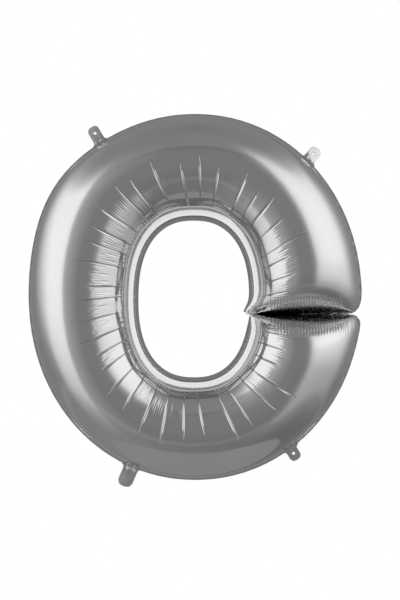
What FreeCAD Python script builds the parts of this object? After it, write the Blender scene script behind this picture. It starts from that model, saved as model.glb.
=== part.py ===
"""Foil balloon in the shape of a round letter or digit: an open ring of inflated film whose two ends meet
at a slit.

Millimetres. +Z is up, the front faces -Y, and the two films meet at Y = 0. The origin is the centre of the
whole object's box, tabs and tail included. Writes one STEP for each sub-part to parts/.
"""

import FreeCAD, Part

import math
import os

# ---- driving dimensions ---------------------------------------------------------------------------------
BODY_WIDTH = 782.0  # over the outer seam, left to right
BODY_HEIGHT = 860.0  # over the outer seam, top to bottom
OUTER_SQUARENESS = 2.05  # exponent of the outer outline: 2 is an ellipse
SHOULDER = 12.5  # how far the outline's upper left stands out beyond that
SHOULDER_ANGLE, SHOULDER_REACH = 142.0, 21.0  # degrees about the body's centre: where, and over how many
HOLE_WIDTH = 259.5  # inside the sealed margin
HOLE_HEIGHT = 367.5
HOLE_SQUARENESS = 2.35
HOLE_CENTRE = (-3.5, -4.7)  # X and Z from the body's centre
ROUNDNESS = 0.98  # the tube's depth over its width

OUTER_SEAM = 5.0  # width of the flat sealed margin along the outside
INNER_SEAM = 9.0  # and around the hole
EAR_SEAM = 3.0  # to which the margin round the hole narrows at the slit
END_SEAM = 5.0  # and across each end of the tube
FILM = 0.8  # wall of each panel; thicker than the real film so that it is a solid
PLY = 0.4  # one film in a sealed margin

SLIT_Z = -40.0  # the slit's height from the body's centre
SLIT_GAP = 1.0  # between the two end seams
END_ROUNDING = 108.0  # length over which an end rises from its seam to the full depth
END_SQUARENESS = 2.9  # exponent of that rise: 2 is a quarter of an ellipse, and more is blunter
END_EDGE = 3.0  # half thickness of the tube where it meets its end seam
UPPER_EAR, LOWER_EAR = 19.0, 4.0  # how far the inner corners stand into the hole at the slit
EAR_REACH = 38.0  # over what length they do
EAR_OUT = 2.0  # the same for the outer corners
# rounding of the corners at the slit: how far it runs across the tube, and along it
UPPER_CORNER, LOWER_CORNER = (23.0, 48.0), (18.0, 21.0)
INNER_CORNER = (9.0, 9.0)

TAB_WIDTH, TAB_TIP = 29.0, 12.0
TAB_HOLE_R, TAB_HOLE_FROM_TIP = 3.2, 17.0
TABS = {  # name: (angle about the body's centre in degrees, length from the seam's edge)
    "hanging_tab_top_left": (121.5, 42.0),
    "hanging_tab_top_right": (50.4, 38.0),
    "hanging_tab_bottom_right": (-57.8, 30.0),
}
PAD_REACH, PAD_FLARE = 3.0, 4.5  # root of a tab: how far it stands out, and its extra width on each side
PAD_ROOT = 4.0  # how far it reaches into the sealed margin
FLEX_GAP = 0.8  # between a pad and its tab: the line that flexes

TAIL_ANGLE, TAIL_LENGTH, TAIL_WIDTH, TAIL_TIP = -110.6, 48.0, 37.0, 16.0
TAIL_PLY = 0.8  # one foil ply of the tail, over the valve's pocket and beside it
TAIL_FLEX_GAP = 1.6  # the same between the tail's pad and its plies
VALVE_WIDTH, VALVE_FILM, VALVE_GAP = 24.0, 0.32, 0.04
POCKET_WIDTH, POCKET_DEPTH = 25.0, VALVE_GAP + VALVE_FILM  # the valve films are bonded to its floor
POCKET_INSET = 3.2  # how far the pocket runs inwards past the sealed margin, to come out inside the tube
MOUTH_INSET = 2.0  # how far the mouth stops short of the tail's tip
NECK_INSET, TONGUE_INSET = 3.0, 3.5  # how far inside the sealed margin the neck and the tongue start
TONGUE_LENGTH, TONGUE_TAPER = 130.0, 4.0
CUT_PAST = 1.0  # how far a cutting shape runs past what it cuts

END_STEPS, MIDDLE_STEPS = 14, 90  # sections of the tube: in each rounded end, and between them
RIB_STEPS = 20  # steps across a section
HALVINGS = 60  # of an angle that is found by halving
DEGREE = 3  # of every interpolated curve and surface

V = FreeCAD.Vector


# ---- outlines -------------------------------------------------------------------------------------------
def superellipse(angle, half_width, half_height, squareness):
    """Point of a superellipse at an eccentric angle, so that paired points face each other squarely."""
    x, z = half_width * math.cos(angle), half_height * math.sin(angle)
    size = abs(x / half_width) ** squareness + abs(z / half_height) ** squareness
    return x * size ** (-1 / squareness), z * size ** (-1 / squareness)


def shoulder(angle_deg):
    """How far the outline stands out beyond the superellipse, at an angle about the body's centre."""
    off = (angle_deg - SHOULDER_ANGLE + 180) % 360 - 180
    return SHOULDER * math.exp(-((off / SHOULDER_REACH) ** 2))


def outer_seam(angle):
    """The tube's outer edge."""
    a, b = BODY_WIDTH / 2 - OUTER_SEAM, BODY_HEIGHT / 2 - OUTER_SEAM
    x, z = superellipse(angle, a, b, OUTER_SQUARENESS)
    scale = 1 + shoulder(math.degrees(math.atan2(z, x))) / math.hypot(x, z)
    return x * scale, z * scale


def inner_seam(angle):
    """The tube's edge beside the hole."""
    a, b = HOLE_WIDTH / 2 + INNER_SEAM, HOLE_HEIGHT / 2 + INNER_SEAM
    x, z = superellipse(angle, a, b, HOLE_SQUARENESS)
    return x + HOLE_CENTRE[0], z + HOLE_CENTRE[1]


def angle_at_height(curve, height):
    """Angle near 0 where a seam curve is at the given height, found by halving."""
    low, high = math.radians(-45), math.radians(45)
    for _ in range(HALVINGS):
        middle = (low + high) / 2
        low, high = (middle, high) if curve(middle)[1] < height else (low, middle)
    return (low + high) / 2


SLIT_TOP = SLIT_Z + SLIT_GAP / 2
SLIT_BOTTOM = SLIT_Z - SLIT_GAP / 2
SPANS = {
    curve: (angle_at_height(curve, SLIT_TOP), angle_at_height(curve, SLIT_BOTTOM) + 2 * math.pi)
    for curve in (outer_seam, inner_seam)
}


def on_seam(curve, share):
    """Point of a seam: share is 0 at the slit's upper edge and 1 at its lower edge."""
    start, end = SPANS[curve]
    return curve(start + share * (end - start))


def middle_of(share):
    """Middle of the tube's section."""
    (xi, zi), (xo, zo) = on_seam(inner_seam, share), on_seam(outer_seam, share)
    return (xi + xo) / 2, (zi + zo) / 2


LENGTH = sum(
    math.dist(middle_of(i / MIDDLE_STEPS), middle_of((i + 1) / MIDDLE_STEPS)) for i in range(MIDDLE_STEPS)
)  # along the middle of the tube


def from_end(share):
    """Distance along the tube to the nearer edge of the slit."""
    return min(share, 1 - share) * LENGTH


def rounded(share):
    """The blunt quarter curve of an end: what is left of one side when the other has covered a share."""
    return (1 - min(max(share, 0.0), 1.0) ** END_SQUARENESS) ** (1 / END_SQUARENESS)


def corner_cut(distance, corner):
    """How far a rounded corner pulls an edge back, at a distance from the end."""
    depth, run = corner
    return depth * (1 - rounded(1 - distance / run))


def section(share, inset=0.0, beyond=0.0):
    """(inner edge, outer edge) of the tube's section. beyond is 1 to take in the sealed margins."""
    (xi, zi), (xo, zo) = on_seam(inner_seam, share), on_seam(outer_seam, share)
    width = math.hypot(xo - xi, zo - zi)
    ex, ez = (xo - xi) / width, (zo - zi) / width
    ear = math.exp(-((from_end(share) / EAR_REACH) ** 2))
    along = from_end(share) - (1 - beyond) * END_SEAM - inset
    ear_in, outer_corner = (UPPER_EAR, UPPER_CORNER) if share < 1 / 2 else (LOWER_EAR, LOWER_CORNER)
    margin = INNER_SEAM - (INNER_SEAM - EAR_SEAM) * ear
    inward = ear_in * ear - corner_cut(along, INNER_CORNER) + beyond * margin
    outward = EAR_OUT * ear - corner_cut(along, outer_corner) + beyond * OUTER_SEAM
    return (xi - inward * ex, zi - inward * ez), (xo + outward * ex, zo + outward * ez)


def stations(start, rounding):
    """Shares along the tube from one end to the other. In the ends they rise by even turns of a quarter
    circle."""
    rises = [math.sin(math.pi / 2 * i / END_STEPS) for i in range(END_STEPS)]
    first = [(start + rounding * (1 - rounded(rise))) / LENGTH for rise in rises]
    low = (start + rounding) / LENGTH
    middle = [low + (1 - 2 * low) * i / MIDDLE_STEPS for i in range(MIDDLE_STEPS + 1)]
    return [*first, *middle, *(1 - share for share in reversed(first))]


# ---- the inflated tube ----------------------------------------------------------------------------------
def half_depth(share, inset):
    """Half the tube's depth, measured to its outside, or to its inside when inset is the wall."""
    full = ROUNDNESS * math.dist(on_seam(inner_seam, share), on_seam(outer_seam, share)) / 2
    back = 1 - (from_end(share) - END_SEAM - inset) / (END_ROUNDING - inset)
    return END_EDGE - inset + (full - END_EDGE) * rounded(back)


def rib(share, inset, base):
    """Points of one half section above the base, from the inner edge over the front to the outer edge."""
    (xi, zi), (xo, zo) = section(share, inset)
    width = math.hypot(xo - xi, zo - zi)
    ex, ez = (xo - xi) / width, (zo - zi) / width
    reach, depth = width / 2 - inset, half_depth(share, inset)
    points = []
    for i in range(RIB_STEPS + 1):
        turn = math.pi * i / RIB_STEPS
        off = width / 2 - reach * math.cos(turn)
        rise = math.sin(turn) if 0 < i < RIB_STEPS else 0.0
        points.append(V(xi + off * ex, -base - (depth - base) * rise, zi + off * ez))
    return points


def spline(points):
    """Curve through points, one unit of parameter between each pair."""
    curve = Part.BSplineCurve()
    curve.interpolate(Points=points, Parameters=[float(i) for i in range(len(points))])
    return curve


def skin_through(ribs):
    """Surface through a grid of points, one unit of parameter between neighbours both ways."""
    rows = [spline(points) for points in ribs]
    columns = [spline(list(poles)) for poles in zip(*(row.getPoles() for row in rows))]
    poles = list(zip(*(column.getPoles() for column in columns)))
    along, across = columns[0], rows[0]
    skin = Part.BSplineSurface()
    skin.buildFromPolesMultsKnots(
        poles,
        along.getMultiplicities(),
        across.getMultiplicities(),
        along.getKnots(),
        across.getKnots(),
        False,
        False,
        DEGREE,
        DEGREE,
    )
    return skin


def half_tube(inset, base):
    """Closed solid of the tube's front half from the plane Y = -base, out to the tube's outside, or to its
    inside when inset is the wall."""
    shares = stations(END_SEAM + inset, END_ROUNDING - inset)
    skin = skin_through([rib(share, inset, base) for share in shares]).toShape()
    rims = sorted(skin.Edges, key=lambda edge: -edge.BoundBox.YMin)
    seams, ends = rims[:2], rims[2:]
    chords = []
    caps = []
    for end in ends:
        chord = Part.makeLine(end.Vertexes[0].Point, end.Vertexes[-1].Point)
        chords.append(chord)
        caps.append(Part.Face(Part.Wire(Part.__sortEdges__([end, chord]))))
    back = Part.Face(Part.Wire(Part.__sortEdges__([*seams, *chords])))
    shell = Part.makeShell([skin.Faces[0], back, *caps])
    shell.sewShape()
    solid = Part.makeSolid(Part.makeShell(shell.Faces))
    if solid.Volume < 0:
        solid.reverse()
    return solid


# ---- flat pieces ----------------------------------------------------------------------------------------
def polar_frame(angle_deg):
    """(point on the seam's outer edge, outward direction, sideways direction) at an angle."""
    a = math.radians(angle_deg)
    half_width, half_height = BODY_WIDTH / 2, BODY_HEIGHT / 2
    across, up = abs(math.cos(a) / half_width), abs(math.sin(a) / half_height)
    r = (across**OUTER_SQUARENESS + up**OUTER_SQUARENESS) ** (-1 / OUTER_SQUARENESS) + shoulder(angle_deg)
    out = V(math.cos(a), 0, math.sin(a))
    return out * r, out, V(-math.sin(a), 0, math.cos(a))


def slab(frame, outline, low, high):
    """Plate between Y low and Y high, its outline given as (outward, sideways) points or arc triples."""
    root, out, side = frame

    def place(point):
        return root + out * point[0] + side * point[1] + V(0, low, 0)

    edges = []
    for piece in outline:
        ends = [place(p) for p in piece]
        edges.append(Part.makeLine(*ends) if len(ends) == 2 else Part.Arc(*ends).toShape())
    return Part.Face(Part.Wire(edges)).extrude(V(0, high - low, 0))


def strip(start, end, width_start, width_end):
    """Outline of a straight strip that may taper."""
    a, b = width_start / 2, width_end / 2
    corners = [(start, -a), (end, -b), (end, b), (start, a)]
    return [(corners[i], corners[(i + 1) % 4]) for i in range(4)]


def tongue_outline(start, end, width, tip):
    """Outline of a flap with straight sides and a rounded tip."""
    half, shoulder, mid = width / 2, end - tip, tip * (1 - math.sqrt(0.5))
    return [
        ((start, -half), (shoulder, -half)),
        ((shoulder, -half), (end - mid, -half + mid), (end, -half + tip)),
        ((end, -half + tip), (end, half - tip)),
        ((end, half - tip), (end - mid, half - mid), (shoulder, half)),
        ((shoulder, half), (start, half)),
        ((start, half), (start, -half)),
    ]


def seam_plate():
    """One film of every sealed margin, as a flat plate under the whole tube."""
    edges = [section(share, beyond=1.0) for share in stations(0.0, END_ROUNDING)]
    inner = spline([V(edge[0][0], 0, edge[0][1]) for edge in edges]).toShape()
    outer = spline([V(edge[1][0], 0, edge[1][1]) for edge in edges]).toShape()
    ends = [
        Part.makeLine(inner.valueAt(inner.FirstParameter), outer.valueAt(outer.FirstParameter)),
        Part.makeLine(inner.valueAt(inner.LastParameter), outer.valueAt(outer.LastParameter)),
    ]
    face = Part.Face(Part.Wire(Part.__sortEdges__([inner, outer, *ends])))
    return face.extrude(V(0, -PLY, 0))


def pad(angle, width, thickness):
    """Root of a tab or the tail, as part of one film's margin."""
    outline = strip(-PAD_ROOT, PAD_REACH, width + 2 * PAD_FLARE, width)
    return slab(polar_frame(angle), outline, -thickness, 0.0)


def foil_panel():
    """The front film: half of the tube's wall with its half of every sealed margin."""
    panel = seam_plate().fuse(half_tube(0.0, PLY))
    for angle, _ in TABS.values():
        panel = panel.fuse(pad(angle, TAB_WIDTH, PLY))
    panel = panel.fuse(pad(TAIL_ANGLE, TAIL_WIDTH, TAIL_PLY))
    panel = panel.cut(half_tube(FILM, 0.0))
    pocket = strip(-OUTER_SEAM - POCKET_INSET, PAD_REACH + CUT_PAST, POCKET_WIDTH, POCKET_WIDTH)
    return panel.cut(slab(polar_frame(TAIL_ANGLE), pocket, -POCKET_DEPTH, 0.0))


def hanging_tab(angle, length):
    """Two films sealed together, with a punched hole."""
    root, out, side = polar_frame(angle)
    outline = tongue_outline(PAD_REACH + FLEX_GAP, length, TAB_WIDTH, TAB_TIP)
    tab = slab((root, out, side), outline, -PLY, PLY)
    punch_length = 2 * (PLY + CUT_PAST)
    punch_start = root + out * (length - TAB_HOLE_FROM_TIP) + V(0, -punch_length / 2, 0)
    return tab.cut(Part.makeCylinder(TAB_HOLE_R, punch_length, punch_start, V(0, 1, 0)))


def tail_ply():
    """The tail's front foil ply, with half of the valve's pocket."""
    frame = polar_frame(TAIL_ANGLE)
    start = PAD_REACH + TAIL_FLEX_GAP
    ply = slab(frame, tongue_outline(start, TAIL_LENGTH, TAIL_WIDTH, TAIL_TIP), -TAIL_PLY, 0.0)
    pocket = strip(start - CUT_PAST, TAIL_LENGTH + CUT_PAST, POCKET_WIDTH, POCKET_WIDTH)
    return ply.cut(slab(frame, pocket, -POCKET_DEPTH, 0.0))


def valve_film(start, end, width_start=VALVE_WIDTH, width_end=VALVE_WIDTH):
    """A length of the valve's front film. Distances run outwards from the seam's edge."""
    outline = strip(start, end, width_start, width_end)
    return slab(polar_frame(TAIL_ANGLE), outline, -VALVE_GAP - VALVE_FILM, -VALVE_GAP)


def mirrored(shape):
    """The same piece on the rear side."""
    return shape.mirror(V(0, 0, 0), V(0, 1, 0))


# ---- the assembly ---------------------------------------------------------------------------------------
def build():
    """Every node by name, about the body's centre."""
    front = foil_panel()
    neck = valve_film(-OUTER_SEAM - NECK_INSET, PAD_REACH)
    mouth = valve_film(PAD_REACH + TAIL_FLEX_GAP, TAIL_LENGTH - MOUTH_INSET)
    tongue_start = -OUTER_SEAM - TONGUE_INSET
    tongue_tip = tongue_start - TONGUE_LENGTH
    tongue = valve_film(tongue_tip, tongue_start, VALVE_WIDTH - TONGUE_TAPER, VALVE_WIDTH)
    tail = tail_ply()
    nodes = {
        "front_foil_panel": front,
        "rear_foil_panel": mirrored(front),
        "valve_neck_front_film": neck,
        "valve_neck_rear_film": mirrored(neck),
        "tail_front_ply": tail,
        "tail_rear_ply": mirrored(tail),
        "valve_mouth_front_film": mouth,
        "valve_mouth_rear_film": mirrored(mouth),
        "valve_tongue_front_film": tongue,
        "valve_tongue_rear_film": mirrored(tongue),
    }
    for name, (angle, length) in TABS.items():
        nodes[name] = hanging_tab(angle, length)
    return nodes


def centre_of(nodes):
    """Centre of the box round every node."""
    box = FreeCAD.BoundBox()
    for shape in nodes.values():
        box.add(shape.optimalBoundingBox(False))
    return box.Center


def main():
    os.makedirs("parts", exist_ok=True)
    nodes = build()
    centre = centre_of(nodes)
    print("body centre in the part's frame:", [round(-c, 3) for c in (centre.x, centre.y, centre.z)])
    for name, shape in nodes.items():
        shape.translate(V(-centre.x, 0, -centre.z))
        assert shape.isValid(), name
        print(f"{name}: {shape.Volume / 1000:.2f} cm3, {len(shape.Solids)} solid(s)")
        shape.exportStep(f"parts/{name}.step")


main()
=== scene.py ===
"""Looks of the foil figure balloon: mirror foil, creased round the hole and puckered at the seams."""

import math

import bmesh
import bpy
import numpy as np
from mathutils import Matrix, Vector

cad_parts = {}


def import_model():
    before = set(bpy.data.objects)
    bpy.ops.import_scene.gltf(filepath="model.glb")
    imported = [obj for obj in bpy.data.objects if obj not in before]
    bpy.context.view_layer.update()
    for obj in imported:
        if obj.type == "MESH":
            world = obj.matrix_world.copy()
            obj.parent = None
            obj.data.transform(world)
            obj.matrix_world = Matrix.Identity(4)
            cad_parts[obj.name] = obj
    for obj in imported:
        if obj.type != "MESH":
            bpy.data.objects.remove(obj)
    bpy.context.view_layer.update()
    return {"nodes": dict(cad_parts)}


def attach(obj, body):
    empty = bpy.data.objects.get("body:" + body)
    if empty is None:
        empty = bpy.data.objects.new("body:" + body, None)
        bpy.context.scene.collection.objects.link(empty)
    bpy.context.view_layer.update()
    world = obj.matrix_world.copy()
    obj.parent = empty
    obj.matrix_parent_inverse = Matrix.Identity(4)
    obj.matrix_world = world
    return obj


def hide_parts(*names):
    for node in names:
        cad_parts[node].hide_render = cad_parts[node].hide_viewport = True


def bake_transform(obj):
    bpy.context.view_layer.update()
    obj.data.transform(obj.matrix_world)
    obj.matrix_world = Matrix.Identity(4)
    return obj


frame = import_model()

MM = 0.001

# ---- the CAD's dimensions, in millimetres ---------------------------------------------------------------
CENTRE = (-0.025, 8.32)  # the body's centre in the frame, X and Z
BODY_WIDTH, BODY_HEIGHT, OUTER_SQUARENESS = 782.0, 860.0, 2.05
SHOULDER, SHOULDER_ANGLE, SHOULDER_REACH = 12.5, 142.0, 21.0
HOLE_WIDTH, HOLE_HEIGHT, HOLE_SQUARENESS = 259.5, 367.5, 2.35
HOLE_CENTRE = (-3.5, -4.7)
ROUNDNESS = 0.98
OUTER_SEAM, INNER_SEAM, END_SEAM, EAR_SEAM = 5.0, 9.0, 5.0, 3.0
SLIT_Z, SLIT_GAP = -40.0, 1.0
END_ROUNDING, END_EDGE, END_SQUARENESS = 108.0, 3.0, 2.9
UPPER_EAR, LOWER_EAR, EAR_REACH, EAR_OUT = 19.0, 4.0, 38.0, 2.0
UPPER_CORNER, LOWER_CORNER, INNER_CORNER = (23.0, 48.0), (18.0, 21.0), (9.0, 9.0)
TABS = {
    "top_left": (121.5, 42.0),
    "top_right": (50.4, 38.0),
    "bottom_right": (-57.8, 30.0),
}
TAB_WIDTH, TAB_TIP, TAB_HOLE_R, TAB_HOLE_FROM_TIP = 29.0, 12.0, 3.2, 17.0
TAIL_ANGLE, TAIL_LENGTH, TAIL_WIDTH, TAIL_TIP = -110.6, 48.0, 37.0, 16.0

# ---- the film's relief ----------------------------------------------------------------------------------
CREASE_PITCH = 27.5  # between the main creases, along the hole's seam
CREASE_HALF_WIDTH, CREASE_DEPTH = 2.2, 1.8
FOLD_LEAN = 0.8  # a crease folds over to one side
KINK_AT = 107.0  # the one crease on the outer side: its distance along the tube from the slit
PUFF, LEAN = 0.25, 0.45  # how far a facet between two creases stands out, and how far one side of it may dip
PLEAT_PITCH, PLEAT_DEPTH = 9.5, 0.35  # of the small pleats beside the hole's seam
LIP_SOFTNESS, LIP_REACH, LIP_DEPTH = 3.0, 8.0, 4.0  # the two ends' lips bulge until they nearly touch
CONTACT = 0.35  # from each lip to the slit's middle, where they are closest
# the slit is a valley that narrows towards its two ends: a steep core, and lips that open from it
CORE_SLOPE, LIP_START, LIP_SLOPE = 6.5, 62.0, 1.4
VALLEY_TAPER, LIP_ROUNDING = 1.3, 3.0
PLY = 0.25  # half thickness of a sealed margin
ROWS_INNER, ROWS_OUTER = 50, 30  # mesh rows from the hole's seam to the crest, and on to the outer seam
BASE_STEP = 3.2  # between mesh columns along the tube, away from creases
HALVINGS = 60  # of an angle that is found by halving
PUCKER_PITCH, PUCKER_REACH = 21.0, 16.0  # gathers at the outer seam: millimetres along it, degrees in
FLAP_START, TAB_FLARE, TAIL_FLARE = -3.0, 7.0, 6.0  # a flap starts inside the margin and widens at its root


# ---- small helpers --------------------------------------------------------------------------------------
def smooth(x):
    x = np.clip(x, 0.0, 1.0)
    return x * x * (3 - 2 * x)


def superellipse(angle, a, b, n):
    x, z = a * np.cos(angle), b * np.sin(angle)
    size = (np.abs(x / a) ** n + np.abs(z / b) ** n) ** (-1 / n)
    return x * size, z * size


def shoulder(angle_deg):
    off = (angle_deg - SHOULDER_ANGLE + 180) % 360 - 180
    return SHOULDER * np.exp(-((off / SHOULDER_REACH) ** 2))


def outer_seam(angle):
    x, z = superellipse(angle, BODY_WIDTH / 2 - OUTER_SEAM, BODY_HEIGHT / 2 - OUTER_SEAM, OUTER_SQUARENESS)
    scale = 1 + shoulder(np.degrees(np.arctan2(z, x))) / np.hypot(x, z)
    return x * scale, z * scale


def inner_seam(angle):
    x, z = superellipse(angle, HOLE_WIDTH / 2 + INNER_SEAM, HOLE_HEIGHT / 2 + INNER_SEAM, HOLE_SQUARENESS)
    return x + HOLE_CENTRE[0], z + HOLE_CENTRE[1]


def angle_at_height(curve, height):
    low, high = math.radians(-45), math.radians(45)
    for _ in range(HALVINGS):
        middle = (low + high) / 2
        if curve(middle)[1] < height:
            low = middle
        else:
            high = middle
    return (low + high) / 2


SPANS = {
    curve: (
        angle_at_height(curve, SLIT_Z + SLIT_GAP / 2),
        angle_at_height(curve, SLIT_Z - SLIT_GAP / 2) + 2 * math.pi,
    )
    for curve in (outer_seam, inner_seam)
}


def on_seam(curve, share):
    start, end = SPANS[curve]
    return curve(start + share * (end - start))


def tube_length():
    share = np.linspace(0, 1, 2001)
    (xi, zi), (xo, zo) = on_seam(inner_seam, share), on_seam(outer_seam, share)
    x, z = (xi + xo) / 2, (zi + zo) / 2
    return float(np.hypot(np.diff(x), np.diff(z)).sum())


LENGTH = tube_length()


def rounded(share):
    return (1 - np.clip(share, 0.0, 1.0) ** END_SQUARENESS) ** (1 / END_SQUARENESS)


def corner_cut(distance, corner):
    depth, run = corner
    return depth * (1 - rounded(1 - distance / run))


def tube_point(s, theta):
    """Point of the smooth tube's front. s runs along the tube in millimetres, and theta runs from the inner
    seam (-90) over the crest (0) to the outer seam (90)."""
    share = s / LENGTH
    (xi, zi), (xo, zo) = on_seam(inner_seam, share), on_seam(outer_seam, share)
    width = np.hypot(xo - xi, zo - zi)
    ex, ez = (xo - xi) / width, (zo - zi) / width
    end = np.minimum(s, LENGTH - s)
    full = ROUNDNESS * width / 2
    ear = np.exp(-((end / EAR_REACH) ** 2))
    inward = np.where(share < 0.5, UPPER_EAR, LOWER_EAR) * ear - corner_cut(end - END_SEAM, INNER_CORNER)
    upper, lower = corner_cut(end - END_SEAM, UPPER_CORNER), corner_cut(end - END_SEAM, LOWER_CORNER)
    outward = EAR_OUT * ear - np.where(share < 0.5, upper, lower)
    reach = width + inward + outward
    depth = END_EDGE + (full - END_EDGE) * rounded(1 - (end - END_SEAM) / END_ROUNDING)
    past = np.maximum(end - END_SEAM, 0.0)
    turn = np.radians(theta)
    soft = LIP_ROUNDING * smooth(past / 10) + 0.2
    taper = np.maximum(np.cos(turn), 0.25) ** VALLEY_TAPER
    wall = END_EDGE + 0.2 + CORE_SLOPE * past / taper
    lip = LIP_START + LIP_SLOPE * past / taper
    depth = -soft * np.log(np.exp(-depth / soft) + np.exp(-wall / soft) + np.exp(-lip / soft))
    off = -inward + reach / 2 * (1 + np.sin(turn))
    y = -depth * np.cos(turn)
    return np.stack([CENTRE[0] + xi + off * ex, y, CENTRE[1] + zi + off * ez], axis=-1)


def new_object(name, points, faces, smooth_shading=True):
    mesh = bpy.data.meshes.new(name)
    corners = [tuple(int(i) for i in face) for face in faces]
    mesh.from_pydata([tuple(p) for p in np.asarray(points) * MM], [], corners)
    mesh.validate()
    mesh.update()
    if smooth_shading:
        mesh.polygons.foreach_set("use_smooth", [True] * len(mesh.polygons))
    obj = bpy.data.objects.new(name, mesh)
    bpy.context.scene.collection.objects.link(obj)
    return obj


def grid_faces(columns, rows):
    i, j = np.meshgrid(np.arange(columns - 1), np.arange(rows - 1), indexing="ij")
    a = (i * rows + j).ravel()
    return np.stack([a, a + 1, a + rows + 1, a + rows], axis=-1)


# ---- creases --------------------------------------------------------------------------------------------
class Creases:
    """The folds of one film: main ones at a steady pitch round the hole, fine ones in bunches between."""

    def __init__(self, rng):
        inner = np.array(on_seam(inner_seam, np.linspace(0, 1, 2001)))
        run = np.concatenate([[0], np.cumsum(np.hypot(*np.diff(inner, axis=1)))])
        count = int(round((run[-1] - 60) / CREASE_PITCH))
        marks = np.linspace(34, run[-1] - 30, count) + rng.uniform(-0.2, 0.2, count) * CREASE_PITCH
        s = np.interp(marks, run, np.linspace(0, LENGTH, 2001))
        self.main = []
        for at in s:
            near = min(at, LENGTH - at)
            start = rng.uniform(-7, 9) if near > 150 else rng.uniform(-26, -12)
            if tube_point(np.array(at), 0.0)[2] < -200:
                start += 9.0  # the creases run further out below the hole
            stop = rng.uniform(-64, -56)
            half, depth = CREASE_HALF_WIDTH * rng.uniform(0.8, 1.2), CREASE_DEPTH * rng.uniform(0.75, 1.15)
            self.main.append((at, half, start, stop, depth, rng.choice([-1, 1]) * FOLD_LEAN))
        self.kink = (KINK_AT, 2.6, 62.0, 86.0, 1.8, FOLD_LEAN)
        self.leans = rng.uniform(-LEAN, LEAN, len(self.main) + 1)
        self.fine = []
        edges = [self.main[0][0] - 30, *s, self.main[-1][0] + 30]
        for low, high in zip(edges[:-1], edges[1:]):
            near = min(low, LENGTH - high)
            centre = tube_point(np.array((low + high) / 2), 0.0)
            beside = abs(centre[2]) < 170  # the tube runs straight up here, and its film wrinkles finely
            if rng.random() > (0.95 if near < 200 else 0.9 if beside else 0.5):
                continue
            start = rng.uniform(-26, -8)
            count = int((high - low) / 6.4)
            for at in np.linspace(low, high, count + 2)[1:-1]:
                if rng.random() < 0.12:
                    continue
                reach = rng.uniform(10, 26)
                top = start + rng.uniform(-3, 3)
                half = rng.uniform(1.2, 1.7)
                depth = rng.uniform(0.4, 0.9) * (1.0 if beside else 0.4)
                self.fine.append((at, half, top, top - reach, depth, 0.0))

    def columns(self):
        """Places along the tube where the mesh needs points."""
        places = []
        for at, half, *_, lean in [*self.main, self.kink]:
            for side in (-1, 1):
                places += [at + side * q * half * (1 + side * lean) for q in (0.0, 0.08, 0.3, 0.65, 1.0)]
        for at, half, *_ in self.fine:
            places += [at - half, at, at + half]
        return places

    def relief(self, s, theta):
        """Height of the film over the smooth tube."""
        h = np.zeros(np.broadcast(s, theta).shape)
        marks = [0.0, *(c[0] for c in self.main), LENGTH]
        swell = np.where((theta > -86) & (theta < 4), np.sin(np.pi * (4 - theta) / 90) ** 2, 0.0)
        for low, high, lean in zip(marks[:-1], marks[1:], self.leans):
            inside = (s >= low) & (s < high)
            q = np.where(inside, (s - low) / (high - low), 0.0)
            facet = PUFF * (4 * q * (1 - q)) ** 0.7 + lean * (2 * q - 1) * np.sin(np.pi * q) ** 0.3
            h += np.where(inside, swell * facet, 0.0)
        for at, half, start, stop, depth, lean in [*self.main, *self.fine, self.kink]:
            tau = (start - theta) / (start - stop)
            amount = smooth(tau / 0.07) * smooth((1 - tau) / 0.35)
            half_here = half * (0.15 + 0.85 * smooth(tau / 0.25)) * (1.1 - 0.65 * np.clip(tau, 0, 1))
            q = np.clip(np.abs(s - at) / (half_here * (1 + lean * np.sign(s - at))), 0, 1)
            h -= depth * amount * (1 - q)
            h -= 0.05 * depth * amount * np.exp(-(((s - at) / (2.4 * half)) ** 2))
        return h


def seam_puckers(s, theta, rng_phase, pitch, reach):
    """Gathers of the film along the outer seam."""
    phase = 2 * np.pi * s / pitch + rng_phase[0] * np.sin(s / 61.0) + rng_phase[1] * np.sin(s / 23.0)
    wave = np.abs(np.cos(phase / 2))
    strength = smooth((theta - (90 - reach)) / reach)
    return strength * (0.3 - 1.1 * (1 - wave) ** 2)


def rim_pleats(s, theta, phase):
    """Small pleats beside the hole's seam, where the film is far longer than the seam it is sealed to, and
    the shallow groove round them."""
    turn = 2 * np.pi * s / PLEAT_PITCH + phase[0] * np.sin(s / 37.0) + phase[1] * np.sin(s / 13.0)
    wave = np.abs(np.sin(turn / 2)) ** 0.7
    size = 0.6 + 0.4 * np.sin(s / 19.0 + phase[0])
    where = smooth((theta + 78) / 12) * smooth((-40 - theta) / 9)
    groove = 1.1 * np.exp(-(((theta + 47 + 1.5 * np.sin(s / 29.0 + phase[1])) / 4.5) ** 2))
    return PLEAT_DEPTH * size * where * (wave - 0.6) - groove


def lip_shift(end, depth):
    """How far the film at a distance from the end seam, and at a depth before it, bulges over the slit."""
    past = np.maximum(end - END_SEAM, 0.0)
    to_middle = past + END_SEAM + SLIT_GAP / 2
    pressed = CONTACT + past**2 / (past + LIP_SOFTNESS)
    return (to_middle - pressed) * np.exp(-((past / LIP_REACH) ** 2)) * smooth(depth / LIP_DEPTH)


def end_puckers(s, theta, rng_phase):
    """Gathers of the film across each end of the tube."""
    end = np.minimum(s, LENGTH - s)
    phase = theta / 180 * 34 * np.pi + rng_phase[0] * np.sin(theta / 17.0) + rng_phase[1]
    wave = np.abs(np.cos(phase))
    return np.exp(-((np.maximum(end - END_SEAM, 0) / 22) ** 2)) * (0.3 - 1.0 * (1 - wave) ** 1.5)


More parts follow.
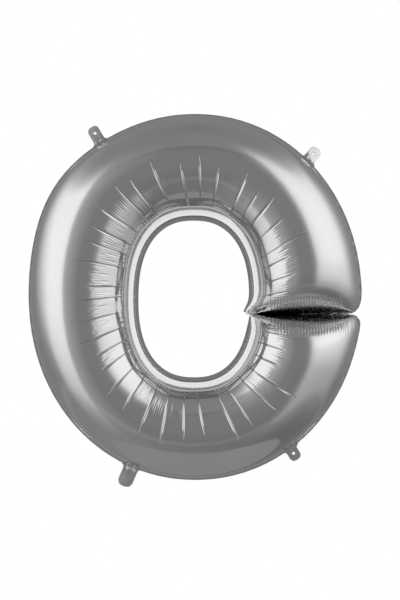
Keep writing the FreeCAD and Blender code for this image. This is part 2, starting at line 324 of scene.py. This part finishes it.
# ---- one film of the envelope ---------------------------------------------------------------------------
def film(name, side, seed):
    """The whole film on one side of the seam plane: side is -1 for the front and 1 for the rear."""
    rng = np.random.default_rng(seed)
    creases = Creases(rng)
    s = np.array(creases.columns())
    base = np.arange(END_SEAM, LENGTH - END_SEAM, BASE_STEP)
    gap = np.abs(base[:, None] - s[None, :]).min(axis=1)
    ends = np.array([0.25, 0.9, 2, 3.5, 5.5, 8, 11, 15])
    s = np.concatenate([s, base[gap > 1.6], END_SEAM + ends, LENGTH - END_SEAM - ends, [LENGTH - END_SEAM]])
    s = np.unique(np.round(np.clip(s, END_SEAM, LENGTH - END_SEAM), 3))
    theta = np.concatenate([np.linspace(-90, 4, ROWS_INNER + 1), np.linspace(4, 90, ROWS_OUTER + 1)[1:]])
    sg, tg = np.meshgrid(s, theta, indexing="ij")
    evenly = np.linspace(-90, 90, len(theta))
    tg += (evenly - theta) * np.exp(-((np.minimum(sg, LENGTH - sg) / 60) ** 2))
    base_points = tube_point(sg, tg)
    du = np.gradient(base_points, axis=0)
    dv = np.gradient(base_points, axis=1)
    normal = np.cross(du, dv)
    normal /= np.maximum(np.linalg.norm(normal, axis=-1, keepdims=True), 1e-9)
    normal *= np.sign(-normal[..., 1].mean())
    phases = rng.uniform(1.5, 3.0, 4)
    h = creases.relief(sg, tg)
    h += seam_puckers(sg, tg, phases[:2], PUCKER_PITCH, PUCKER_REACH)
    h += end_puckers(sg, tg, phases[2:])
    h += rim_pleats(sg, tg, phases[1:3])
    h *= smooth((90.5 - np.abs(tg)) / 3.0)
    points = base_points + normal * h[..., None]
    points[..., 1] = np.minimum(points[..., 1], -PLY)
    shift = lip_shift(np.minimum(sg, LENGTH - sg), -points[..., 1])
    points[..., 2] += np.where(sg < LENGTH / 2, -shift, shift)

    # sealed margins: beside the hole and outside, then across the two ends
    def margin(edge_points, outward, width, shares, ruffle):
        rows = []
        for share in shares:
            p = edge_points + outward * (width * share)[:, None]
            p[..., 1] = -PLY + ruffle * share
            rows.append(p)
        return rows

    across = points[:, -1] - points[:, 0]
    across[:, 1] = 0
    across /= np.linalg.norm(across, axis=-1, keepdims=True)
    turn = 2 * np.pi * s / PUCKER_PITCH + phases[0] * np.sin(s / 61.0) + phases[1] * np.sin(s / 23.0)
    wave = 0.7 * np.sin(turn)
    ear = np.exp(-((np.minimum(s, LENGTH - s) / EAR_REACH) ** 2))
    inner_width = INNER_SEAM - (INNER_SEAM - EAR_SEAM) * ear
    inner = margin(points[:, 0], -across, inner_width, (0.07, 0.5, 1.0), 0.4 * wave)
    outer = margin(points[:, -1], across, np.full(len(s), OUTER_SEAM), (0.15, 1.0), wave)
    points = np.concatenate([np.stack(inner[::-1], 1), points, np.stack(outer, 1)], axis=1)
    first, last = points[:1].copy(), points[-1:].copy()
    strips0, strips1 = [], []
    ruffle = 0.8 * np.sin(np.linspace(0, 60, points.shape[1]))
    for step in (0.6, END_SEAM + SLIT_GAP):
        for edge, direction, strips in ((first, -1, strips0), (last, 1, strips1)):
            p = edge.copy()
            p[..., 2] += direction * step
            p[..., 1] = -PLY + ruffle * step / END_SEAM
            strips.append(p)
    points = np.concatenate([*strips0[::-1], points, *strips1], axis=0)
    columns, rows = points.shape[:2]
    points = points.reshape(-1, 3)
    faces = grid_faces(columns, rows)
    if side > 0:
        points = points * np.array([1, -1, 1])
    else:
        faces = faces[:, ::-1]
    obj = new_object(name, points, faces)
    # weld faces get the second material
    row_of = np.tile(np.arange(rows - 1), columns - 1)
    column_of = np.repeat(np.arange(columns - 1), rows - 1)
    weld = (row_of < 3) | (row_of >= rows - 3) | (column_of < 2) | (column_of >= columns - 3)
    obj.data.materials.append(FOIL)
    obj.data.materials.append(WELD)
    obj.data.polygons.foreach_set("material_index", weld.astype(np.int32))
    return obj


# ---- tabs and tail --------------------------------------------------------------------------------------
def root_frame(angle_deg):
    a = math.radians(angle_deg)
    half_width, half_height = BODY_WIDTH / 2, BODY_HEIGHT / 2
    n = OUTER_SQUARENESS
    r = (abs(math.cos(a) / half_width) ** n + abs(math.sin(a) / half_height) ** n) ** (-1 / n)
    r += shoulder(angle_deg)
    out = np.array([math.cos(a), 0, math.sin(a)])
    return np.array([CENTRE[0], 0, CENTRE[1]]) + out * r, out, np.array([-math.sin(a), 0, math.cos(a)])


def flap(name, angle, start, length, width, tip, flare, bend, hole=None, thickness=0.22, offset=0.0):
    """A thin flap in the seam plane. bend(u, v) gives the (Y, sideways) shift of its middle surface."""
    root, out, side = root_frame(angle)
    nu, nv = 34, 22
    us = np.linspace(start, length, nu + 1)
    ms = np.linspace(-1, 1, nv + 1)
    shoulder = length - tip
    half = np.where(
        us > shoulder,
        width / 2 - tip + np.sqrt(np.maximum(tip**2 - (us - shoulder) ** 2, 0)),
        width / 2,
    )
    if flare:
        q = np.clip(1 - us / flare, 0, 1)
        half = half + flare * (1 - np.sqrt(1 - q**2))
    u, m = np.meshgrid(us, ms, indexing="ij")
    v = m * half[:, None]
    flat = np.stack([u, v], -1).reshape(-1, 2)
    keep = np.ones((nu, nv), bool)
    rings = []
    if hole:
        at, radius = hole
        reach = radius + 3.4
        i0 = int(np.searchsorted(us, at - reach)) - 1
        i1 = int(np.searchsorted(us, at + reach))
        inside = np.where(np.abs(ms) * width / 2 >= reach)[0]
        j0 = int(inside[inside <= nv // 2].max())
        j1 = int(inside[inside > nv // 2].min())
        keep[i0:i1, j0:j1] = False
        loop = [(i0, j) for j in range(j0, j1)] + [(i, j1) for i in range(i0, i1)]
        loop += [(i1, j) for j in range(j1, j0, -1)] + [(i, j0) for i in range(i1, i0, -1)]
        loop = np.array([i * (nv + 1) + j for i, j in loop])
        centre = np.array([at, 0.0])
        edge = flat[loop]
        away = edge - centre
        circle = centre + radius * away / np.linalg.norm(away, axis=1, keepdims=True)
        rings.append(loop)
        for k in range(1, 5):
            rings.append(np.arange(len(flat), len(flat) + len(loop)))
            flat = np.concatenate([flat, edge + (circle - edge) * k / 4])
    faces = grid_faces(nu + 1, nv + 1)[keep.ravel()]
    for a, b in zip(rings[:-1], rings[1:]):
        faces = np.concatenate([faces, np.stack([a, b, np.roll(b, -1), np.roll(a, -1)], -1)])
    border = [i * (nv + 1) for i in range(nu + 1)] + [nu * (nv + 1) + j for j in range(1, nv + 1)]
    border += [i * (nv + 1) + nv for i in range(nu - 1, -1, -1)] + list(range(nv - 1, 0, -1))
    border = np.array(border)
    u, v = flat[:, 0], flat[:, 1]
    shift_y, shift_v = bend(u, v)
    middle = root + out * u[:, None] + side * (v + shift_v)[:, None]
    middle[:, 1] += shift_y + offset
    count = len(flat)
    points = np.concatenate([middle - [0, thickness, 0], middle + [0, thickness, 0]])
    walls = [np.stack([border, np.roll(border, -1), np.roll(border, -1) + count, border + count], -1)]
    if rings:
        r = rings[-1]
        walls.append(np.stack([r, r + count, np.roll(r, -1) + count, np.roll(r, -1)], -1))
    all_faces = np.concatenate([faces, faces[:, ::-1] + count, *walls])
    obj = new_object(name, points, all_faces)
    obj.data.materials.append(WELD)
    bm_fix_normals(obj)
    return obj


def bm_fix_normals(obj):
    """Turns every face outwards."""
    bm = bmesh.new()
    bm.from_mesh(obj.data)
    bmesh.ops.recalc_face_normals(bm, faces=bm.faces)
    bm.to_mesh(obj.data)
    bm.free()
    obj.data.polygons.foreach_set("use_smooth", [True] * len(obj.data.polygons))


def tab_bend(lean, twist, folds, seed, sway=0.0):
    """How a tab is bent: out of the seam plane, twisted along its length, pleated at its root and swung."""
    rng = np.random.default_rng(seed)
    a, b, c = rng.uniform(0, 6.28, 3)

    def bend(u, v):
        rise = smooth((u - 2.0) / 20.0)
        y = np.tan(math.radians(lean)) * np.maximum(u - 3.0, 0)
        y += v * math.sin(math.radians(twist)) * rise
        pleats = np.cos(v * 2 * np.pi / 13.0 + a) + 0.6 * np.cos(v * 2 * np.pi / 7.3 + b)
        y += folds * pleats * np.exp(-np.maximum(u - 3, 0) / 4.5) * smooth(u / 4)
        y += 0.35 * np.sin(u / 5.1 + b) * np.sin(v / 6.3 + c) * rise
        swing = math.tan(math.radians(sway)) * np.maximum(u - 2.0, 0)
        return y, v * (math.cos(math.radians(twist)) - 1) * rise + swing

    return bend


# ---- materials ------------------------------------------------------------------------------------------
def nodes_of(material):
    material.use_nodes = True
    tree = material.node_tree
    return tree, tree.nodes["Principled BSDF"]


def noise_node(tree, scale, detail=2.0, rough=0.5):
    node = tree.nodes.new("ShaderNodeTexNoise")
    node.inputs["Scale"].default_value = scale
    node.inputs["Detail"].default_value = detail
    node.inputs["Roughness"].default_value = rough
    coords = tree.nodes.new("ShaderNodeTexCoord")
    tree.links.new(coords.outputs["Object"], node.inputs["Vector"])
    return node


def ramp_node(tree, source, low, high):
    """Stretches the middle of a 0-1 value over a range."""
    node = tree.nodes.new("ShaderNodeMapRange")
    node.inputs["From Min"].default_value = 0.3
    node.inputs["From Max"].default_value = 0.7
    node.inputs["To Min"].default_value = low
    node.inputs["To Max"].default_value = high
    tree.links.new(source, node.inputs["Value"])
    return node


def slit_gathers(tree, before):
    """Fine gathers across the two lips of the slit, too small for the mesh. Returns the last bump node."""
    coords = tree.nodes.new("ShaderNodeTexCoord")
    split = tree.nodes.new("ShaderNodeSeparateXYZ")
    tree.links.new(coords.outputs["Object"], split.inputs[0])

    def window(source, low, high, fade):
        """Two factors whose product is 1 between low and high and fades to 0 outside."""
        rise, fall = tree.nodes.new("ShaderNodeMapRange"), tree.nodes.new("ShaderNodeMapRange")
        for node, start, end in ((rise, low - fade, low), (fall, high + fade, high)):
            node.interpolation_type = "SMOOTHSTEP"
            node.inputs["From Min"].default_value = start
            node.inputs["From Max"].default_value = end
            tree.links.new(source, node.inputs["Value"])
        return rise.outputs[0], fall.outputs[0]

    middle = (CENTRE[1] + SLIT_Z) * MM
    below, above, height_fade = 0.034, 0.030, 0.018  # metres from the slit's middle
    inner_end, outer_end, side_fade = 0.19, 0.335, 0.03  # metres along X
    parts = [*window(split.outputs[2], middle - below, middle + above, height_fade)]
    parts += [*window(split.outputs[0], inner_end, outer_end, side_fade)]
    gathers = tree.nodes.new("ShaderNodeTexWave")
    gathers.bands_direction = "X"
    gathers.inputs["Scale"].default_value = 46.0
    gathers.inputs["Distortion"].default_value = 3.0
    gathers.inputs["Detail"].default_value = 2.0
    gathers.inputs["Detail Scale"].default_value = 3.0
    tree.links.new(coords.outputs["Object"], gathers.inputs["Vector"])
    height = gathers.outputs["Fac"]
    for part in parts:
        node = tree.nodes.new("ShaderNodeMath")
        node.operation = "MULTIPLY"
        tree.links.new(height, node.inputs[0])
        tree.links.new(part, node.inputs[1])
        height = node.outputs[0]
    bump = tree.nodes.new("ShaderNodeBump")
    bump.inputs["Strength"].default_value = 0.8
    bump.inputs["Distance"].default_value = 0.0009
    tree.links.new(height, bump.inputs["Height"])
    tree.links.new(before.outputs["Normal"], bump.inputs["Normal"])
    return bump


def foil(name, tint, rough_low, rough_high, weave):
    """Metallised film: a mirror coat with faint haze and tiny crinkles and, in welds, a pressed texture."""
    material = bpy.data.materials.new(name)
    tree, shader = nodes_of(material)
    shader.inputs["Metallic"].default_value = 1.0
    shade = noise_node(tree, 9.0, 3.0)
    colour = tree.nodes.new("ShaderNodeMix")
    colour.data_type = "RGBA"
    colour.inputs["A"].default_value = (*(c * 0.95 for c in tint), 1)
    colour.inputs["B"].default_value = (*(min(1.0, c * 1.05) for c in tint), 1)
    tree.links.new(shade.outputs["Fac"], colour.inputs["Factor"])
    tree.links.new(colour.outputs["Result"], shader.inputs["Base Color"])
    haze = ramp_node(tree, noise_node(tree, 34.0, 4.0, 0.6).outputs["Fac"], rough_low, rough_high)
    tree.links.new(haze.outputs["Result"], shader.inputs["Roughness"])
    broad = tree.nodes.new("ShaderNodeBump")
    broad.inputs["Strength"].default_value = 0.5
    broad.inputs["Distance"].default_value = 0.0004
    tree.links.new(noise_node(tree, 21.0, 2.0).outputs["Fac"], broad.inputs["Height"])
    fine = tree.nodes.new("ShaderNodeBump")
    fine.inputs["Strength"].default_value = 0.35
    fine.inputs["Distance"].default_value = 0.00008
    tree.links.new(noise_node(tree, 240.0, 3.0).outputs["Fac"], fine.inputs["Height"])
    tree.links.new(broad.outputs["Normal"], fine.inputs["Normal"])
    last = slit_gathers(tree, fine) if not weave else fine
    if weave:
        coords = tree.nodes.new("ShaderNodeTexCoord")
        check = tree.nodes.new("ShaderNodeTexVoronoi")
        check.inputs["Scale"].default_value = 650.0
        check.inputs["Randomness"].default_value = 0.2
        tree.links.new(coords.outputs["Object"], check.inputs["Vector"])
        emboss = tree.nodes.new("ShaderNodeBump")
        emboss.inputs["Strength"].default_value = weave
        emboss.inputs["Distance"].default_value = 0.00012
        tree.links.new(check.outputs["Distance"], emboss.inputs["Height"])
        tree.links.new(last.outputs["Normal"], emboss.inputs["Normal"])
        last = emboss
    tree.links.new(last.outputs["Normal"], shader.inputs["Normal"])
    return material


def clear_film():
    """Clear valve film: glossy, faintly milky."""
    material = bpy.data.materials.new("clear_film")
    tree, shader = nodes_of(material)
    shader.inputs["Base Color"].default_value = (0.86, 0.87, 0.88, 1)
    shader.inputs["Alpha"].default_value = 0.45
    milk = ramp_node(tree, noise_node(tree, 60.0, 3.0).outputs["Fac"], 0.1, 0.24)
    tree.links.new(milk.outputs["Result"], shader.inputs["Roughness"])
    bump = tree.nodes.new("ShaderNodeBump")
    bump.inputs["Strength"].default_value = 0.4
    bump.inputs["Distance"].default_value = 0.0002
    tree.links.new(noise_node(tree, 90.0, 2.0).outputs["Fac"], bump.inputs["Height"])
    tree.links.new(bump.outputs["Normal"], shader.inputs["Normal"])
    return material


FOIL = foil("silver_foil", (0.60, 0.60, 0.605), 0.09, 0.13, 0.0)
WELD = foil("silver_foil_weld", (0.56, 0.56, 0.565), 0.16, 0.24, 0.25)
CLEAR = clear_film()

# ---- build ----------------------------------------------------------------------------------------------
front = film("front_film", -1, 21)
rear = film("rear_film", 1, 58)
for obj, node in ((front, "front_foil_panel"), (rear, "rear_foil_panel")):
    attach(obj, "envelope")
    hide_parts(node)

# how each tab is bent: lean and twist in degrees, height of the pleats at its root, and a seed
LEANS = {
    "top_left": (3.0, 9.0, 0.9, 3),
    "top_right": (16.0, -14.0, 0.5, 4),
    "bottom_right": (-6.0, 5.0, 0.3, 5),
}
for key, (angle, length) in TABS.items():
    lean, twist, folds, seed = LEANS[key]
    tab = flap(
        f"tab_{key}",
        angle,
        FLAP_START,
        length,
        TAB_WIDTH,
        TAB_TIP,
        TAB_FLARE,
        tab_bend(lean, twist, folds, seed),
        hole=(length - TAB_HOLE_FROM_TIP, TAB_HOLE_R),
    )
    root, out, _ = root_frame(angle)
    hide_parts(f"hanging_tab_{key}")
    start, end = tuple((root + out * 1.0) * MM), tuple((root + out * 6.0) * MM)
    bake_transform(tab)
    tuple(start)
    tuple(end)

tail_shape = tab_bend(-7.0, -9.0, 1.3, 9, -3.0)
root, out, _ = root_frame(TAIL_ANGLE)
for key, sign in (("front", -1), ("rear", 1)):

    def ply_bend(u, v, sign=sign):
        y, w = tail_shape(u, v)
        open_mouth = 1.2 * smooth((u - 20) / 26) * (1 - (2 * v / TAIL_WIDTH) ** 2)
        return y + sign * open_mouth, w

    ply = flap(
        f"tail_{key}",
        TAIL_ANGLE,
        FLAP_START,
        TAIL_LENGTH,
        TAIL_WIDTH,
        TAIL_TIP,
        TAIL_FLARE,
        ply_bend,
        thickness=0.1,
        offset=0.14 * sign,
    )
    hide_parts(f"tail_{key}_ply")
    start, end = tuple((root + out * 1.0) * MM), tuple((root + out * 7.0) * MM)
    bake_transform(ply)
    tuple(start)
    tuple(end)

for name, obj in frame["nodes"].items():
    if name.startswith("valve_"):
        obj.data.materials.clear()
        obj.data.materials.append(CLEAR)


# ---- stage ----------------------------------------------------------------------------------------------
def floor_disc():
    radius, height, segments = 1.0, -1.5, 128
    turn = np.linspace(0, 2 * np.pi, segments, endpoint=False)
    rim = np.stack([radius * np.cos(turn), radius * np.sin(turn), np.full(segments, height)], -1)
    mesh = bpy.data.meshes.new("floor")
    mesh.from_pydata([tuple(p) for p in rim], [], [tuple(range(segments))])
    obj = bpy.data.objects.new("floor", mesh)
    bpy.context.scene.collection.objects.link(obj)
    material = bpy.data.materials.new("floor_paint")
    tree, shader = nodes_of(material)
    tone = ramp_node(tree, noise_node(tree, 6.0, 3.0).outputs["Fac"], 0.5, 0.62)
    tree.links.new(tone.outputs["Result"], shader.inputs["Roughness"])
    shader.inputs["Base Color"].default_value = (0.64, 0.64, 0.64, 1)
    mesh.materials.append(material)
    return obj


floor_disc()


def panel_light(name, low, high, aim, radiance):
    """Rectangular light filling the box from low to high, which has no thickness along its aim."""
    low, high, aim = Vector(low), Vector(high), Vector(aim)
    size = high - low
    light = bpy.data.lights.new(name, "AREA")
    light.shape = "RECTANGLE"
    across = size.y if abs(aim.x) > 0.5 else size.x
    light.size, light.size_y = across, size.z
    light.energy = radiance * math.pi * across * size.z
    obj = bpy.data.objects.new(name, light)
    bpy.context.scene.collection.objects.link(obj)
    obj.location = (low + high) / 2
    obj.rotation_euler = aim.to_track_quat("-Z", "Z").to_euler()
    obj.visible_camera = False
    return obj


panel_light("hole_card", (-0.38, 0.32, -0.42), (0.38, 0.32, 0.42), (0, -1, 0), 0.92)

# The studio round the object, by direction. Azimuths run from the camera's side (0) to the right (90),
# elevations from the floor (-90) to the ceiling (90), and each point is (degrees, level).
ROOM = [
    *((-90, 0.25), (-64, 0.27), (-36, 0.27), (-30, 0.33), (-26, 0.27)),
    *((4, 0.30), (34, 0.29), (38, 0.25), (44, 0.33), (90, 0.25)),
]
LEFT_BOX = {
    "across": [
        *((-165, 0), (-150, 0.04), (-130, 0.25), (-110, 0.66), (-95, 0.92), (-82, 1)),
        *((-48, 1), (-43, 0.88), (-36, 0.3), (-30, 0.2), (-8, 0)),
    ],
    "top": [(31, 1), (36, 0.86), (44, 0.33), (52, 0.06), (60, 0)],
    "bottom": [(-25, 0), (-10, 0.14), (0, 0.42), (8, 0.64), (16, 0.82), (30, 1)],
    "sill": [(-150, 24), (-110, 3), (-90, -9), (-70, -27), (-50, -30), (0, -30)],
}
RIGHT_BOX = {
    "across": [
        *((14, 0), (20, 0.12), (27, 0.6), (32, 0.84), (44, 1)),
        *((82, 1), (92, 0.9), (110, 0.42), (125, 0.14), (150, 0)),
    ],
    "top": [(34, 1), (40, 0.9), (44, 0.66), (52, 0.18), (62, 0)],
    "bottom": [(-52, 0), (-40, 0.07), (-24, 0.35), (-8, 0.64), (5, 0.8), (12, 0.96), (18, 1)],
}
BOX_LEVEL = 1.08  # over the room's
UNDERFOOT_TILT = 0.13  # below the horizon the room is a little brighter on the left than on the right


def world():
    """White to the eye; in reflections a grey room with a large soft light on the left and on the right."""
    scene_world = bpy.data.worlds.new("studio")
    bpy.context.scene.world = scene_world
    scene_world.use_nodes = True
    tree = scene_world.node_tree
    tree.nodes.clear()
    new = tree.nodes.new
    link = tree.links.new

    def maths(op, *values):
        node = new("ShaderNodeMath")
        node.operation = op
        for socket, value in zip(node.inputs, values):
            if isinstance(value, (int, float)):
                socket.default_value = value
            else:
                link(value, socket)
        return node.outputs[0]

    def curve(value, points):
        """A value in degrees through a smooth curve of (degrees, level) points."""
        levels = [level for _, level in points]
        low, high = points[0][0], points[-1][0]
        floor, ceiling = min(levels), max(levels)
        place = new("ShaderNodeMapRange")
        place.inputs["From Min"].default_value = low
        place.inputs["From Max"].default_value = high
        link(value, place.inputs["Value"])
        node = new("ShaderNodeFloatCurve")
        handles = node.mapping.curves[0].points
        spots = [((at - low) / (high - low), (level - floor) / (ceiling - floor)) for at, level in points]
        handles[0].location, handles[-1].location = spots[0], spots[-1]
        for spot in spots[1:-1]:
            handles.new(*spot)
        node.mapping.update()
        link(place.outputs[0], node.inputs["Value"])
        return maths("MULTIPLY_ADD", node.outputs[0], ceiling - floor, floor)

    coords = new("ShaderNodeTexCoord")
    split = new("ShaderNodeSeparateXYZ")
    link(coords.outputs["Generated"], split.inputs[0])
    x, y, z = split.outputs
    azimuth = maths("DEGREES", maths("ARCTAN2", x, maths("MULTIPLY", y, -1.0)))
    elevation = maths("DEGREES", maths("ARCSINE", z))
    tone = curve(elevation, ROOM)
    underfoot = maths("MULTIPLY", x, maths("MINIMUM", z, 0.0))
    tone = maths("MULTIPLY_ADD", underfoot, UNDERFOOT_TILT, tone)
    for box in (LEFT_BOX, RIGHT_BOX):
        sill = curve(azimuth, box["sill"]) if "sill" in box else 0.0
        above_sill = maths("SUBTRACT", elevation, sill)
        level = maths("MULTIPLY", curve(azimuth, box["across"]), curve(elevation, box["top"]))
        level = maths("MULTIPLY", level, curve(above_sill, box["bottom"]))
        tone = maths("MULTIPLY_ADD", level, BOX_LEVEL, tone)
    studio = new("ShaderNodeBackground")
    studio.inputs["Color"].default_value = (1, 1, 1, 1)
    link(tone, studio.inputs["Strength"])
    white = new("ShaderNodeBackground")
    white.inputs["Color"].default_value = (1, 1, 1, 1)
    white.inputs["Strength"].default_value = 1.0
    path = new("ShaderNodeLightPath")
    mix = new("ShaderNodeMixShader")
    link(path.outputs["Is Camera Ray"], mix.inputs[0])
    link(studio.outputs[0], mix.inputs[1])
    link(white.outputs[0], mix.inputs[2])
    output = new("ShaderNodeOutputWorld")
    link(mix.outputs[0], output.inputs["Surface"])


world()


def camera():
    data = bpy.data.cameras.new("camera")
    data.sensor_fit = "VERTICAL"
    data.sensor_height = 36.0
    distance, view_height = 3.3, 1.41
    data.lens = 36.0 / 2 / (view_height / 2 / distance)
    obj = bpy.data.objects.new("camera", data)
    bpy.context.scene.collection.objects.link(obj)
    obj.location = (0.0112, -distance, 0.0012)
    obj.rotation_euler = (math.pi / 2, 0, 0)
    bpy.context.scene.camera = obj


camera()
bpy.context.scene.view_settings.view_transform = "Standard"
